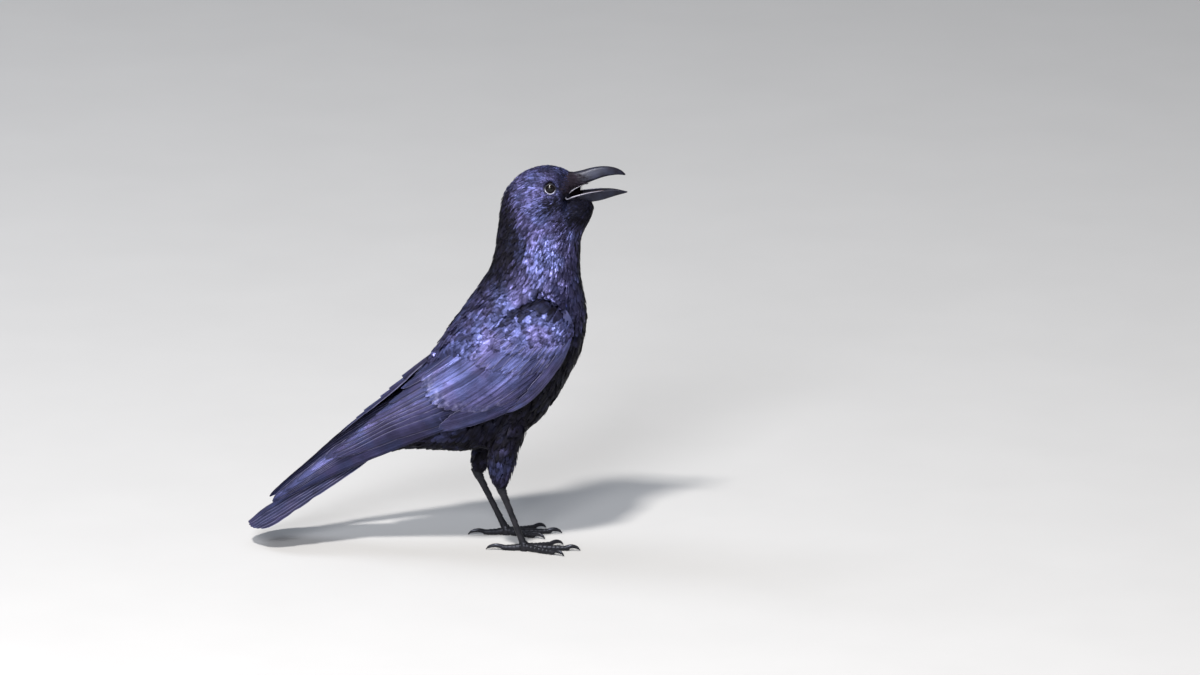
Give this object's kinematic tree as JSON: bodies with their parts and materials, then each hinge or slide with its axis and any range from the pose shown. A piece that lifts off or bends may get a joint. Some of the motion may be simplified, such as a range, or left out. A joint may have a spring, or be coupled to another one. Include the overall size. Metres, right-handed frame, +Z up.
{
  "type": "life-size carrion crow model",
  "caption": "Glossy black crow standing upright on both feet with wings folded, head raised and bill open, as a still life-size museum model.",
  "frame": {"origin": "on the floor under the middle of the bird's bounding box", "axes": "+X the way the bird faces, +Y its left side, +Z up"},
  "size_m": [0.3392, 0.1178, 0.3506],
  "materials": {
    "plumage": "satin, black with a violet-blue gloss",
    "flight_feathers": "satin, black with a violet-blue gloss",
    "bill": "satin horn",
    "tongue": "moist",
    "eye": "wet gloss",
    "leg_scales": "satin scales",
    "claw": "polished horn"
  },
  "bodies": {
    "root": {"head": "plumage", "neck": "plumage", "trunk": "plumage", "thigh_left": "plumage", "thigh_right": "plumage", "tail": "flight_feathers", "wing_left_coverts": "flight_feathers", "wing_left_secondaries": "flight_feathers", "wing_left_primaries": "flight_feathers", "wing_right_coverts": "flight_feathers", "wing_right_secondaries": "flight_feathers", "wing_right_primaries": "flight_feathers", "bill_upper": "bill", "bill_lower": "bill", "tongue": "tongue", "eye_left": "eye", "eye_right": "eye", "shank_left": "leg_scales", "shank_right": "leg_scales", "toe_left_inner": "leg_scales", "toe_left_middle": "leg_scales", "toe_left_outer": "leg_scales", "toe_left_hind": "leg_scales", "toe_right_inner": "leg_scales", "toe_right_middle": "leg_scales", "toe_right_outer": "leg_scales", "toe_right_hind": "leg_scales", "claw_left_inner": "claw", "claw_left_middle": "claw", "claw_left_outer": "claw", "claw_left_hind": "claw", "claw_right_inner": "claw", "claw_right_middle": "claw", "claw_right_outer": "claw", "claw_right_hind": "claw"}
  },
  "joints": []
}
